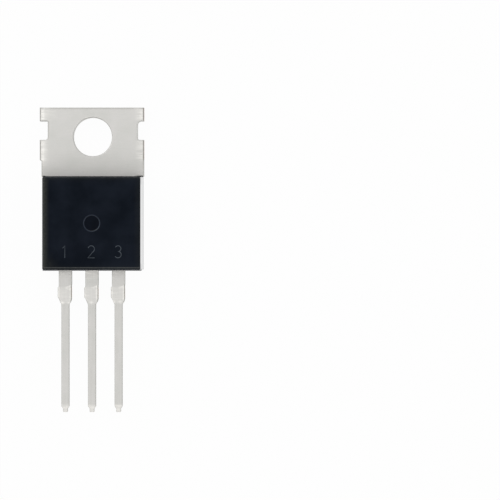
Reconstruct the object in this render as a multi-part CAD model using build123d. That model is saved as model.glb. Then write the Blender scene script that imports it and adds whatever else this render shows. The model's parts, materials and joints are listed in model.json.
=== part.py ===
from build123d import *
import math
import os

# Power transistor in a flat three-lead package with a metal mounting tab, in millimetres.
#
# Frame: the origin is on the axis of the mounting hole, in the back (heat sink) plane.
# +Z is the normal of the front face, +Y points to the free edge of the tab, and the
# leads point to -Y. Seen from the front with the leads down, the gate lead is at -X,
# the drain lead in the middle and the source lead at +X.

# ---- Tab: the thick copper flange that is bolted to a heat sink ----
TAB_WIDTH = 9.83
TAB_THICKNESS = 1.27
TAB_LENGTH = 6.59  # free edge to the moulding
HOLE_DIAMETER = 3.7
HOLE_TO_FREE_EDGE = 2.81  # hole's axis to the tab's free edge
NOTCH_DEPTH = 0.6
NOTCH_HEIGHT = 1.8
NOTCH_TO_FREE_EDGE = 1.3  # free edge to the near side of each notch
NOTCH_CORNER_RADIUS = 0.22
TIE_STUB_PROUD = 0.16  # what the shear leaves of the strip's tie bars on the gate side
TIE_STUB_HEIGHT = 1.93  # the stub on the moulding's side of the notch
TAB_EDGE_ROLL = 0.1  # the punch rounds the front edges of the tab and of its hole

# ---- Paddle: the part of the thick copper that carries the die, inside the moulding ----
PADDLE_LENGTH = 5.86  # moulding's tab end to the end of the exposed pad
PADDLE_WIDTH = 7.9  # exposed pad, on the back
LOCK_STEP = 0.3  # how far the front half of the paddle overhangs the back half
LOCK_HEIGHT = 0.62  # height of the narrower back half
GROOVE_DEPTH = 0.2  # V groove across the front, which keeps moisture from the die
GROOVE_WIDTH = 0.4
GROOVE_TO_TAB = 0.75  # moulding's tab end to the middle of the groove

# ---- Leads: thin copper of the same strip ----
LEAD_PITCH = 2.54
LEAD_THICKNESS = 0.5
LEAD_FRONT_HEIGHT = 2.8  # back plane to the leads' front faces
LEAD_LENGTH = 13.51  # moulding to the tips
LEAD_WIDTH = 0.77
SHOULDER_WIDTH = 1.27
DAM_BAR_START = 1.56  # moulding to the sheared stub of the dam bar
DAM_BAR_HEIGHT = 1.03
DAM_STUB_PROUD = 0.1
TAPER_LENGTH = 0.62
NIB_WIDTH = 0.46
NIB_LENGTH = 0.36
TIP_CHAMFER_LENGTH = 0.18
JOGGLE_FLAT = 0.45  # drain lead, from the paddle's end to its first bend
JOGGLE_ANGLE = 50.0
JOGGLE_INNER_RADIUS = 0.25

# ---- Bond posts: the wide inner ends of the gate and source leads ----
POST_WIDTH = 2.3
POST_LENGTH = 1.45
POST_TO_LEAD_END = 0.95  # moulding's lead end to the post
POST_OFFSET = 0.22  # post's centre line outside the lead's centre line
POST_CORNER_RADIUS = 0.2

# ---- Die and its solder ----
DIE_WIDTH = 3.4
DIE_LENGTH = 4.1
DIE_THICKNESS = 0.3
SOLDER_THICKNESS = 0.06
SOLDER_MARGIN = 0.14  # solder fillet past the die's edge

# ---- Bond wires ----
SOURCE_WIRE_DIAMETER = 0.38
SOURCE_WIRE_SPACING = 0.85
SOURCE_ARCH_RADIUS = 0.8
GATE_WIRE_DIAMETER = 0.15
GATE_ARCH_RADIUS = 0.45
ARCH_HEIGHT = 0.85  # where a wire's two legs would meet, above the posts' front faces
ARCH_PLACE = 0.45  # the arch's place along a wire, as a share of the way between its feet
BOND_FOOT_LENGTH = 0.5
BOND_FOOT_SQUASH = 0.25  # share of the wire's radius that the bonding tool flattens
GATE_PAD_INSET = 0.45  # gate pad's centre from the die's two edges
SOURCE_BOND_TO_DIE_EDGE = 1.35  # source wires' ends from the die's lead-side edge

# ---- Moulding ----
BODY_WIDTH = 9.69  # across the long parting line
BODY_LENGTH = 9.04  # tab end to the parting line of the lead end
BODY_THICKNESS = 4.4  # back plane to the front face
BODY_BACK_RECESS = 0.04  # the copper stands proud of the moulded back by this much
SIDE_DRAFT = 3.5
SIDE_BACK_DRAFT = 3.0
TAB_END_DRAFT = 3.0
LEAD_END_DRAFT = 4.0
LEAD_END_BACK_DRAFT = 2.6
BODY_EDGE_RADIUS = 0.2
EJECTOR_MARK_DIAMETER = 1.47
EJECTOR_MARK_DEPTH = 0.1
EJECTOR_MARK_OFFSET = 0.12  # mark's centre, off the centre line towards the source lead

# ---- Worked out from the sizes above ----
FREE_EDGE_Y = HOLE_TO_FREE_EDGE
TAB_END_Y = FREE_EDGE_Y - TAB_LENGTH
LEAD_END_Y = TAB_END_Y - BODY_LENGTH
BODY_CENTRE_Y = (TAB_END_Y + LEAD_END_Y) / 2
PADDLE_END_Y = TAB_END_Y - PADDLE_LENGTH
LOCK_END_Y = PADDLE_END_Y - LOCK_STEP
GROOVE_Y = TAB_END_Y - GROOVE_TO_TAB
LEAD_TIP_Y = LEAD_END_Y - LEAD_LENGTH
LEAD_BACK_HEIGHT = LEAD_FRONT_HEIGHT - LEAD_THICKNESS
LEAD_MIDDLE_HEIGHT = LEAD_FRONT_HEIGHT - LEAD_THICKNESS / 2
POST_OUTER_Y = LEAD_END_Y + POST_TO_LEAD_END
POST_INNER_Y = POST_OUTER_Y + POST_LENGTH
DIE_Y = (GROOVE_Y - GROOVE_WIDTH / 2 + LOCK_END_Y) / 2
DIE_BACK_HEIGHT = TAB_THICKNESS + SOLDER_THICKNESS
DIE_FRONT_HEIGHT = DIE_BACK_HEIGHT + DIE_THICKNESS
DIE_LEAD_SIDE_Y = DIE_Y - DIE_LENGTH / 2


def run(height, degrees):
    """How far a drafted wall leans in over a height."""
    return height * math.tan(math.radians(degrees))


def outline(points):
    """A flat face with straight sides, in the plane that it is drawn in."""
    return make_face(Polyline(*points, close=True))


def plate(face, back, front):
    """A flat face in XY made a plate between two heights."""
    return Pos(0, 0, back) * extrude(face, amount=front - back)


def box_between(x_range, y_range, z_range):
    """A block between two corners, given as three ranges."""
    size = [high - low for low, high in (x_range, y_range, z_range)]
    corner = Pos(x_range[0], y_range[0], z_range[0])
    return corner * Box(*size, align=(Align.MIN, Align.MIN, Align.MIN))


def edges_at_height(solid, height):
    """The edges that lie in the plane at one height."""
    return [
        edge
        for edge in solid.edges()
        if max(abs(point.Z - height) for point in (edge @ 0, edge @ 0.5, edge @ 1)) < 1e-4
    ]


# ---- Copper ----


def notch(side):
    """One edge notch of the tab, open past the sheared edge; side is -1 or +1."""
    reach = NOTCH_DEPTH + TIE_STUB_PROUD + NOTCH_CORNER_RADIUS
    floor_x = TAB_WIDTH / 2 - NOTCH_DEPTH
    middle_y = FREE_EDGE_Y - NOTCH_TO_FREE_EDGE - NOTCH_HEIGHT / 2
    slot = RectangleRounded(2 * reach, NOTCH_HEIGHT, NOTCH_CORNER_RADIUS)
    return Pos(side * (floor_x + reach), middle_y) * slot


def tie_stub(top_y, height):
    """What is left of a tie bar on the gate side, with its root inside the tab."""
    root = NOTCH_DEPTH / 2
    face = Rectangle(TIE_STUB_PROUD + root, height, align=(Align.MIN, Align.MAX))
    return Pos(-TAB_WIDTH / 2 - TIE_STUB_PROUD, top_y) * face


def make_tab():
    """The flange: a notched plate with the mounting hole, its front edges rolled."""
    face = Pos(0, FREE_EDGE_Y) * Rectangle(TAB_WIDTH, TAB_LENGTH, align=(Align.CENTER, Align.MAX))
    face += tie_stub(FREE_EDGE_Y, NOTCH_TO_FREE_EDGE)
    face += tie_stub(FREE_EDGE_Y - NOTCH_TO_FREE_EDGE - NOTCH_HEIGHT, TIE_STUB_HEIGHT)
    face -= notch(-1) + notch(1) + Circle(HOLE_DIAMETER / 2)
    tab = plate(face, 0, TAB_THICKNESS)
    rolled = [edge for edge in edges_at_height(tab, TAB_THICKNESS) if (edge @ 0.5).Y > TAB_END_Y + 1e-3]
    return fillet(rolled, TAB_EDGE_ROLL)


def make_paddle():
    """The die paddle: a narrow back half, an overhanging front half and a V groove."""
    half_pad = PADDLE_WIDTH / 2
    half_lock = half_pad + LOCK_STEP
    back = box_between((-half_pad, half_pad), (PADDLE_END_Y, TAB_END_Y), (0, LOCK_HEIGHT))
    front = box_between((-half_lock, half_lock), (LOCK_END_Y, TAB_END_Y), (LOCK_HEIGHT, TAB_THICKNESS))
    groove_profile = outline(
        [
            (GROOVE_Y - GROOVE_WIDTH / 2, TAB_THICKNESS),
            (GROOVE_Y, TAB_THICKNESS - GROOVE_DEPTH),
            (GROOVE_Y + GROOVE_WIDTH / 2, TAB_THICKNESS),
        ]
    )
    groove = extrude(Plane.YZ * groove_profile, amount=half_lock, both=True)
    return back + front - groove


def lead_face(inner_y):
    """A lead from above, on the Y axis, from inside the moulding to the nib at its tip."""
    dam_start = LEAD_END_Y - DAM_BAR_START
    dam_end = dam_start - DAM_BAR_HEIGHT
    taper_end = dam_end - TAPER_LENGTH
    nib_start = LEAD_TIP_Y + NIB_LENGTH
    chamfer_start = nib_start + TIP_CHAMFER_LENGTH
    stub_x = -SHOULDER_WIDTH / 2 - DAM_STUB_PROUD
    gate_side = [
        (-SHOULDER_WIDTH / 2, inner_y),
        (-SHOULDER_WIDTH / 2, dam_start),
        (stub_x, dam_start),
        (stub_x, dam_end),
        (-LEAD_WIDTH / 2, taper_end),
    ]
    tip = [
        (-LEAD_WIDTH / 2, chamfer_start),
        (-NIB_WIDTH / 2, nib_start),
        (-NIB_WIDTH / 2, LEAD_TIP_Y),
        (NIB_WIDTH / 2, LEAD_TIP_Y),
        (NIB_WIDTH / 2, nib_start),
        (LEAD_WIDTH / 2, chamfer_start),
    ]
    source_side = [
        (LEAD_WIDTH / 2, taper_end),
        (SHOULDER_WIDTH / 2, dam_end),
        (SHOULDER_WIDTH / 2, inner_y),
    ]
    return outline(gate_side + tip + source_side)


def make_drain_lead():
    """The middle lead: a strip that joggles up from the paddle, cut to the lead's outline."""
    start_height = TAB_THICKNESS - LEAD_THICKNESS / 2
    first_bend_y = LOCK_END_Y - JOGGLE_FLAT
    rise = LEAD_MIDDLE_HEIGHT - start_height
    second_bend_y = first_bend_y - rise / math.tan(math.radians(JOGGLE_ANGLE))
    path = FilletPolyline(
        (LOCK_END_Y + LOCK_STEP, start_height),
        (first_bend_y, start_height),
        (second_bend_y, LEAD_MIDDLE_HEIGHT),
        (LEAD_TIP_Y, LEAD_MIDDLE_HEIGHT),
        radius=JOGGLE_INNER_RADIUS + LEAD_THICKNESS / 2,
    )
    strip = extrude(Plane.YZ * trace(path, LEAD_THICKNESS), amount=SHOULDER_WIDTH, both=True)
    return strip & plate(lead_face(LOCK_END_Y + LOCK_STEP), 0, BODY_THICKNESS)


def make_drain_frame():
    """Tab, paddle and drain lead, which are one piece of copper."""
    return make_tab() + make_paddle() + make_drain_lead()


def make_post_lead(side):
    """The gate lead (side -1) or the source lead (side +1), flat, with its bond post."""
    lead = Pos(side * LEAD_PITCH) * lead_face(POST_OUTER_Y + POST_CORNER_RADIUS)
    post = Pos(side * (LEAD_PITCH + POST_OFFSET), POST_OUTER_Y) * Rectangle(
        POST_WIDTH, POST_LENGTH, align=(Align.CENTER, Align.MIN)
    )
    post = fillet(post.vertices(), POST_CORNER_RADIUS)
    return plate(lead + post, LEAD_BACK_HEIGHT, LEAD_FRONT_HEIGHT)


# ---- Die, solder and bond wires ----


def make_die():
    """The silicon die, flat on its solder."""
    return Pos(0, DIE_Y, DIE_BACK_HEIGHT) * Box(
        DIE_WIDTH, DIE_LENGTH, DIE_THICKNESS, align=(Align.CENTER, Align.CENTER, Align.MIN)
    )


def make_solder():
    """The solder under the die, which spreads into a sloping fillet round it."""
    wide = Rectangle(DIE_WIDTH + 2 * SOLDER_MARGIN, DIE_LENGTH + 2 * SOLDER_MARGIN)
    narrow = Rectangle(DIE_WIDTH, DIE_LENGTH)
    pool = loft([Pos(0, DIE_Y, TAB_THICKNESS) * wide, Pos(0, DIE_Y, DIE_BACK_HEIGHT) * narrow])
    return pool


def bond_wire(start_x, start_y, end_x, end_y, diameter, arch_radius):
    """A wire bonded flat on the die and on a post: a sharp heel at each foot, one arch between."""
    radius = diameter / 2
    axis_lift = radius * (1 - BOND_FOOT_SQUASH)
    span = math.hypot(end_x - start_x, end_y - start_y)
    die_height = DIE_FRONT_HEIGHT + axis_lift
    post_height = LEAD_FRONT_HEIGHT + axis_lift
    arch_place = BOND_FOOT_LENGTH + (span - 2 * BOND_FOOT_LENGTH) * ARCH_PLACE
    path = FilletPolyline(
        (0, die_height),
        (BOND_FOOT_LENGTH, die_height),
        (arch_place, LEAD_FRONT_HEIGHT + ARCH_HEIGHT),
        (span - BOND_FOOT_LENGTH, post_height),
        (span, post_height),
        radius=[0, arch_radius, 0],
    )
    along = Vector(end_x - start_x, end_y - start_y, 0).normalized()
    upright = Plane(origin=(start_x, start_y, 0), x_dir=along, z_dir=along.cross(Vector(0, 0, 1)))
    placed = upright * path
    section = Plane(origin=placed @ 0, z_dir=placed % 0) * Circle(radius)
    return sweep(section, path=placed, transition=Transition.RIGHT)


def make_source_wires(die, source_lead):
    """The two thick wires from the die's source pad to the source post."""
    wires = []
    start_y = DIE_LEAD_SIDE_Y + SOURCE_BOND_TO_DIE_EDGE
    end_y = (POST_OUTER_Y + POST_INNER_Y) / 2 - BOND_FOOT_LENGTH / 2
    end_x = LEAD_PITCH + POST_OFFSET
    for step in (-0.5, 0.5):
        shift = step * SOURCE_WIRE_SPACING
        start_x = DIE_WIDTH / 4 + shift
        wire = bond_wire(
            start_x, start_y, end_x + shift, end_y, SOURCE_WIRE_DIAMETER, SOURCE_ARCH_RADIUS
        )
        wires.append(wire - die - source_lead)
    return wires


def make_gate_wire(die, gate_lead):
    """The thin wire from the gate pad, in the die's corner, to the gate post."""
    start_x = -DIE_WIDTH / 2 + GATE_PAD_INSET
    start_y = DIE_LEAD_SIDE_Y + GATE_PAD_INSET + BOND_FOOT_LENGTH / 2
    end_x = -LEAD_PITCH
    end_y = (POST_OUTER_Y + POST_INNER_Y) / 2 - BOND_FOOT_LENGTH / 2
    wire = bond_wire(start_x, start_y, end_x, end_y, GATE_WIRE_DIAMETER, GATE_ARCH_RADIUS)
    return wire - die - gate_lead


# ---- Moulding ----


def make_moulding_blank():
    """The drafted block before anything is set in it: two silhouettes that cross."""
    above_tab = BODY_THICKNESS - TAB_THICKNESS
    above_leads = BODY_THICKNESS - LEAD_MIDDLE_HEIGHT
    below_leads = LEAD_MIDDLE_HEIGHT - BODY_BACK_RECESS
    side_view = outline(
        [
            (TAB_END_Y, BODY_BACK_RECESS),
            (TAB_END_Y, TAB_THICKNESS),
            (TAB_END_Y - run(above_tab, TAB_END_DRAFT), BODY_THICKNESS),
            (LEAD_END_Y + run(above_leads, LEAD_END_DRAFT), BODY_THICKNESS),
            (LEAD_END_Y, LEAD_MIDDLE_HEIGHT),
            (LEAD_END_Y + run(below_leads, LEAD_END_BACK_DRAFT), BODY_BACK_RECESS),
        ]
    )
    half_width = BODY_WIDTH / 2
    half_front = half_width - run(above_tab, SIDE_DRAFT)
    half_back = half_width - run(TAB_THICKNESS - BODY_BACK_RECESS, SIDE_BACK_DRAFT)
    end_view = outline(
        [
            (-half_back, BODY_BACK_RECESS),
            (-half_width, TAB_THICKNESS),
            (-half_front, BODY_THICKNESS),
            (half_front, BODY_THICKNESS),
            (half_width, TAB_THICKNESS),
            (half_back, BODY_BACK_RECESS),
        ]
    )
    long_way = extrude(Plane.YZ * side_view, amount=BODY_WIDTH, both=True)
    across = extrude(Plane.XZ * end_view, amount=-2 * (LEAD_END_Y - FREE_EDGE_Y), both=True)
    return long_way & across


def stands_against_tab(edge):
    """Whether a corner edge lies in the tab's thickness, where the tab's shoulder covers it."""
    middle = edge @ 0.5
    return middle.Z < TAB_THICKNESS and middle.Y > BODY_CENTRE_Y


def make_moulding(set_in):
    """The moulding: rounded block, ejector pin mark, and a space for each piece set in it."""
    blank = make_moulding_blank()
    corners = [edge for edge in blank.edges() if abs((edge % 0.5).Z) > 0.9]
    free_corners = [edge for edge in corners if not stands_against_tab(edge)]
    rounded = fillet(free_corners + edges_at_height(blank, BODY_THICKNESS), BODY_EDGE_RADIUS)
    mark = Pos(EJECTOR_MARK_OFFSET, BODY_CENTRE_Y, BODY_THICKNESS) * Cylinder(
        EJECTOR_MARK_DIAMETER / 2, EJECTOR_MARK_DEPTH, align=(Align.CENTER, Align.CENTER, Align.MAX)
    )
    moulding = rounded - mark
    for piece in set_in:
        moulding -= piece
    return moulding


def main():
    """Make each piece and write it as one STEP file."""
    drain_frame = make_drain_frame()
    gate_lead = make_post_lead(-1)
    source_lead = make_post_lead(1)
    solder = make_solder()
    die = make_die()
    gate_wire = make_gate_wire(die, gate_lead)
    source_wire_1, source_wire_2 = make_source_wires(die, source_lead)
    pieces = {
        "drain_frame": drain_frame,
        "gate_lead": gate_lead,
        "source_lead": source_lead,
        "die_solder": solder,
        "silicon_die": die,
        "gate_bond_wire": gate_wire,
        "source_bond_wire_1": source_wire_1,
        "source_bond_wire_2": source_wire_2,
    }
    pieces["moulded_body"] = make_moulding(list(pieces.values()))
    os.makedirs("parts", exist_ok=True)
    for node, piece in pieces.items():
        export_step(piece, f"parts/{node}.step")


if __name__ == "__main__":
    main()
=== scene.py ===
"""A flat three-lead power transistor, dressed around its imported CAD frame.

The part lies on its back: +Z is the normal of the front face, +Y points to the free edge
of the tab and the leads point to -Y. Shapes are drawn in millimetres and stored in metres.
"""

import json
import logging
import math
from dataclasses import dataclass
from enum import Enum, IntEnum
from typing import Iterable, Sequence, TypeVar

import bmesh
import bpy
from bmesh.types import BMEdge, BMesh, BMFace, BMLayerItem, BMVert
from bpy.types import ID, Material, Node, NodeSocket, NodeTree, Object
from mathutils import Matrix, Vector


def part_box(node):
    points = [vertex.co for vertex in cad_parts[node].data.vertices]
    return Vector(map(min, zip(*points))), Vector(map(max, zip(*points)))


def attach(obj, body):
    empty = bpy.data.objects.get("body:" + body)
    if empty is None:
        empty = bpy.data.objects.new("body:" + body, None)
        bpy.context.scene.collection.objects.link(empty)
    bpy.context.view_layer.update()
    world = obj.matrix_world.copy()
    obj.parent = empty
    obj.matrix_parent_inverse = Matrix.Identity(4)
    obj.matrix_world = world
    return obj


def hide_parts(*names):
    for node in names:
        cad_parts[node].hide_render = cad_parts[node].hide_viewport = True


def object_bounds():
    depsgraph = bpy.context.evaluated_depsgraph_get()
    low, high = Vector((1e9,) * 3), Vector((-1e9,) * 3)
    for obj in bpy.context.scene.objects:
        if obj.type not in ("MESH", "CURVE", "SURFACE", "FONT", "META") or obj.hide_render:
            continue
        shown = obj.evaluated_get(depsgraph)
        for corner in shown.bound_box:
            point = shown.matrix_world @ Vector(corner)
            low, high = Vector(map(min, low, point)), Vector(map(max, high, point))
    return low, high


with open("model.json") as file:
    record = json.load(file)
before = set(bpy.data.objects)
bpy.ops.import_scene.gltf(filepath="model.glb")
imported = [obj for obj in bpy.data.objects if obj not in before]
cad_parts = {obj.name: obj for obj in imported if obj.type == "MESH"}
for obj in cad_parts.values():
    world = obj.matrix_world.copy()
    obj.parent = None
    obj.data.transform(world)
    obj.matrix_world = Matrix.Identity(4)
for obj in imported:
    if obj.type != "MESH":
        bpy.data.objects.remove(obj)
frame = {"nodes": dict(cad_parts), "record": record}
CAD_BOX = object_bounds()

LOG = logging.getLogger("power_transistor")
MM = 0.001
BODY = "root"
# First layer: copper edges painted darker (partly abraded tin, partly painted shade) and moulding rims
# painted paler (partly scuffs, partly painted highlight).
WEAR_AND_LIGHT = "wear"
# Second layer: painted highlights, brighter and a little smoother where light would catch.
PAINTED_HIGHLIGHT = "shine"
TAB_END_Y = -3.795
TAB_THICKNESS = 1.27
LEAD_THICKNESS = 0.5
LEAD_FRONT = 2.8
PITCH = 2.54
SHARP_ANGLE = math.radians(32)
NORMAL_WEIGHT = 50
FLAT_MARGIN = 0.04
# How dark a rolled copper rim is painted: partly abraded tin, partly painted shade of the rounded rim.
EDGE_WEAR_AND_SHADE = 0.5
SIDE_ON = 0.9
HAIR = 0.001
CUT_SNAP = 1e-5
JOIN_SNAP = 1e-6

Colour = tuple[float, float, float]
Point = tuple[float, float]
Kind = TypeVar("Kind")


class Slot(Enum):
    """The record's material slots, passed with each new piece and not read."""

    COPPER = "tinned_copper"
    COMPOUND = "mould_compound"


class Side(Enum):
    """The two sides of the package, seen from the front with the leads down."""

    GATE = -1
    SOURCE = 1


class Metal(IntEnum):
    """The copper frame's finishes, in the order of its materials."""

    TIN = 0
    TAB_CUT = 1
    LEAD_CUT = 2


class Skin(IntEnum):
    """The moulding's finishes, in the order of its materials."""

    FRONT = 0
    SIDES = 1
    PIN_LIP = 2
    ENDS = 3
    PIN_FLOOR = 4


# ---- soft switches


def smooth_step(low: float, high: float, value: float) -> float:
    """A soft switch that is 0 up to the low value and 1 from the high one."""
    share = min(max((value - low) / (high - low), 0.0), 1.0)
    return share * share * (3 - 2 * share)


def fade(low: float, high: float, value: float) -> float:
    """A soft switch that is 1 up to the low value and 0 from the high one."""
    return 1 - smooth_step(low, high, value)


def window(rise: Point, drop: Point, value: float) -> float:
    """A soft switch that comes on over one stretch of values and goes off over another."""
    return smooth_step(*rise, value) * fade(*drop, value)


def bell(value: float, centre: float, width: float) -> float:
    """A soft bump of height 1 round a centre."""
    return math.exp(-(((value - centre) / width) ** 2))


def quarter_round(segments: int) -> list[Point]:
    """A quarter of a unit circle, as pairs of (distance in from the wall, distance below the flat)."""
    angles = [math.pi / 2 * step / segments for step in range(segments + 1)]
    return [(1 - math.cos(angle), 1 - math.sin(angle)) for angle in angles]


# ---- mesh helpers


def start_mesh() -> BMesh:
    """An empty mesh with its two vertex layers."""
    bm = bmesh.new()
    for name in (WEAR_AND_LIGHT, PAINTED_HIGHLIGHT):
        bm.verts.layers.float.new(name)
    return bm


def finish_layers(bm: BMesh) -> list[BMLayerItem]:
    """A mesh's layers: how much abrasion and painted light each point carries, then how much painted
    highlight.
    """
    return [bm.verts.layers.float[name] for name in (WEAR_AND_LIGHT, PAINTED_HIGHLIGHT)]


def only(items: Iterable[object], kind: type[Kind]) -> list[Kind]:
    """The items of one kind."""
    return [item for item in items if isinstance(item, kind)]


def touching(items: Iterable[BMVert | BMFace], links: str) -> list:
    """What a named link of some points or faces leads to, each once and always in the same order."""
    return list(dict.fromkeys(found for item in items for found in getattr(item, links)))


def loft(bm: BMesh, sections: Sequence[Sequence[Vector]]) -> list[BMVert]:
    """Carry a closed section through a row of stations and cap both ends.

    Args:
        bm: the mesh to add to.
        sections: one list of points for each station, all of the same count.

    Returns:
        The new vertices.
    """
    around = len(sections[0])
    last = len(sections) - 1
    grid = bmesh.ops.create_grid(bm, x_segments=last, y_segments=around, size=0.5)["verts"]
    for vert in grid:
        station = round((vert.co.x + 0.5) * last)
        place = round((vert.co.y + 0.5) * around) % around
        vert.co = sections[station][place]
    bmesh.ops.remove_doubles(bm, verts=grid, dist=JOIN_SNAP)
    verts = [vert for vert in grid if vert.is_valid]
    rims = [edge for edge in touching(verts, "link_edges") if edge.is_boundary]
    bmesh.ops.holes_fill(bm, edges=rims, sides=0)
    return verts


def cut_rows(bm: BMesh, across: Iterable[float], along: Iterable[float]) -> None:
    """Cut rows of new points into a mesh, where its finish or its height changes.

    Args:
        bm: the mesh.
        across: the rows' places along X.
        along: the rows' places along Y.
    """
    for normal, places in ((Vector((1, 0, 0)), across), (Vector((0, 1, 0)), along)):
        for place in places:
            geometry = [*bm.verts, *bm.edges, *bm.faces]
            bmesh.ops.bisect_plane(bm, geom=geometry, plane_co=normal * place, plane_no=normal, dist=CUT_SNAP)


def closed_loop(bm: BMesh, points: Sequence[Vector]) -> list[BMEdge]:
    """Join points, in order, into one closed outline."""
    verts = [bm.verts.new(point) for point in points]
    return [bm.edges.new((verts[index - 1], verts[index])) for index in range(len(verts))]


def circle_loop(bm: BMesh, centre: Vector, radius: float, segments: int) -> list[BMEdge]:
    """Draw a round outline in the plane Z = centre.z."""
    place = Matrix.Translation(centre)
    made = bmesh.ops.create_circle(bm, cap_ends=False, segments=segments, radius=radius, matrix=place)
    return touching(made["verts"], "link_edges")


def fill(bm: BMesh, edges: Iterable[BMEdge]) -> list[BMFace]:
    """Fill the flat region between closed outlines, holes left open."""
    made = bmesh.ops.triangle_fill(bm, edges=list(edges), use_beauty=True, normal=Vector((0, 0, 1)))
    return only(made["geom"], BMFace)


def raise_faces(bm: BMesh, faces: Sequence[BMFace], height: float) -> list[BMFace]:
    """Extrude a flat region straight up and return its raised faces."""
    grown = bmesh.ops.extrude_face_region(bm, geom=list(faces))["geom"]
    bmesh.ops.translate(bm, verts=only(grown, BMVert), vec=(0, 0, height))
    return only(grown, BMFace)


def inset_flat(bm: BMesh, faces: Sequence[BMFace], width: float, rise: float = 0.0) -> list[BMVert]:
    """Shrink a flat region inside its rim, and lift it.

    Args:
        bm: the mesh that holds the region.
        faces: the region, which stays the inner part.
        width: how far its rim moves in.
        rise: how far it rises.

    Returns:
        The vertices of the ring that is left round it.
    """
    ring = bmesh.ops.inset_region(
        bm, faces=list(faces), thickness=width, depth=rise, use_boundary=True, use_even_offset=True
    )
    return touching(ring["faces"], "verts")


def roll_rim(bm: BMesh, faces: Sequence[BMFace], radius: float, segments: int) -> None:
    """Give a raised flat region a rounded rim, as a punch leaves on a sheet.

    Args:
        bm: the mesh that holds the region.
        faces: the flat region on top, which stands one radius below its final height.
        radius: the rim's radius.
        segments: how many rings make the round.
    """
    wear, _ = finish_layers(bm)
    steps = quarter_round(segments)
    rolled: list[BMVert] = []
    for (inner, below), (next_inner, next_below) in zip(steps, steps[1:]):
        rolled += inset_flat(bm, faces, radius * (next_inner - inner), radius * (below - next_below))
    # The rolled rings are painted darker: partly abraded tin, partly painted shade of the rounded rim.
    for vert in rolled:
        vert[wear] = EDGE_WEAR_AND_SHADE
    inset_flat(bm, faces, FLAT_MARGIN)
    for vert in touching(faces, "verts"):
        vert[wear] = 0.0


def settle_order(bm: BMesh) -> None:
    """Number the edges and faces by their corners, so that each run gives the same mesh."""
    bm.verts.index_update()
    for items in (bm.edges, bm.faces):
        ranked = sorted(items, key=lambda item: sorted(vert.index for vert in item.verts))
        for index, item in enumerate(ranked):
            item.index = index
        items.sort()


def place_object(name: str, data: ID) -> Object:
    """Put a new object that holds some data into the scene, at the origin."""
    item = bpy.data.objects.new(name, data)
    bpy.context.scene.collection.objects.link(item)
    return item


def finish_mesh(name: str, bm: BMesh, materials: Sequence[Material], smooth: bool = True) -> Object:
    """Turn a mesh in millimetres into a finished piece in metres, at the origin.

    Args:
        name: the piece's name.
        bm: the mesh, which is freed.
        materials: the piece's materials, in the order of its face indices.
        smooth: whether curved stretches shade smoothly.

    Returns:
        The new piece.
    """
    bmesh.ops.recalc_face_normals(bm, faces=bm.faces)
    bmesh.ops.transform(bm, matrix=Matrix.Scale(MM, 4), verts=bm.verts)
    settle_order(bm)
    mesh = bpy.data.meshes.new(name)
    bm.to_mesh(mesh)
    bm.free()
    for material in materials:
        mesh.materials.append(material)
    piece = place_object(name, mesh)
    if smooth:
        mesh.shade_smooth()
        mesh.set_sharp_from_angle(angle=SHARP_ANGLE)
        even = piece.modifiers.new("even_normals", "WEIGHTED_NORMAL")
        even.mode = "FACE_AREA"
        even.weight = NORMAL_WEIGHT
        even.keep_sharp = True
    return piece


def adopt(piece: Object, slot: Slot, *nodes: str) -> None:
    """Set a finished piece on the part's body in place of CAD nodes.

    Args:
        piece: the finished piece.
        slot: the record's slot that its finish comes from; not used.
        nodes: the CAD nodes that it stands for.
    """
    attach(piece, BODY)
    if nodes:
        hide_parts(*nodes)
    LOG.info("%s: %d faces", piece.name, len(piece.data.polygons))


# ---- finishes


class Tree:
    """A node tree, with short ways to add and join nodes."""

    def __init__(self, tree: NodeTree) -> None:
        """Take a tree to add to."""
        self.tree = tree

    def add(self, kind: str, **settings: object) -> Node:
        """Add a node and set its properties."""
        node = self.tree.nodes.new(f"ShaderNode{kind}")
        for key, value in settings.items():
            setattr(node, key, value)
        return node

    def feed(self, socket: NodeSocket, source: NodeSocket | Colour | float) -> None:
        """Link a socket to a source, or set it to a plain value."""
        if isinstance(source, NodeSocket):
            self.tree.links.new(source, socket)
        else:
            socket.default_value = (*source, 1.0) if isinstance(source, tuple) else source

    def feed_all(self, node: Node, *sources: NodeSocket | Colour | float) -> None:
        """Feed a node's first sockets in their order."""
        for socket, source in zip(node.inputs, sources):
            self.feed(socket, source)

    def maths(self, operation: str, first: NodeSocket, second: NodeSocket | float) -> NodeSocket:
        """Combine two values."""
        node = self.add("Math", operation=operation)
        self.feed_all(node, first, second)
        return node.outputs["Value"]

    def times(self, first: NodeSocket, second: NodeSocket | float) -> NodeSocket:
        """The product of two values."""
        return self.maths("MULTIPLY", first, second)

    def most(self, first: NodeSocket, second: NodeSocket) -> NodeSocket:
        """The greater of two values."""
        return self.maths("MAXIMUM", first, second)

    def light(self, kind: str, strength: float) -> NodeSocket:
        """A shader that shines white."""
        node = self.add(kind)
        self.feed_all(node, (1.0, 1.0, 1.0), strength)
        return node.outputs[0]

    def mixed(self, share: NodeSocket, first: NodeSocket, second: NodeSocket) -> NodeSocket:
        """Mix two shaders by a share."""
        node = self.add("MixShader")
        self.feed_all(node, share, first, second)
        return node.outputs["Shader"]

    def seen_by_eye(self) -> NodeSocket:
        """A socket that is 1 for camera, glossy and transmission rays and 0 for the rest."""
        rays = self.add("LightPath").outputs
        return self.most(self.most(rays["Is Camera Ray"], rays["Is Glossy Ray"]), rays["Is Transmission Ray"])


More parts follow.
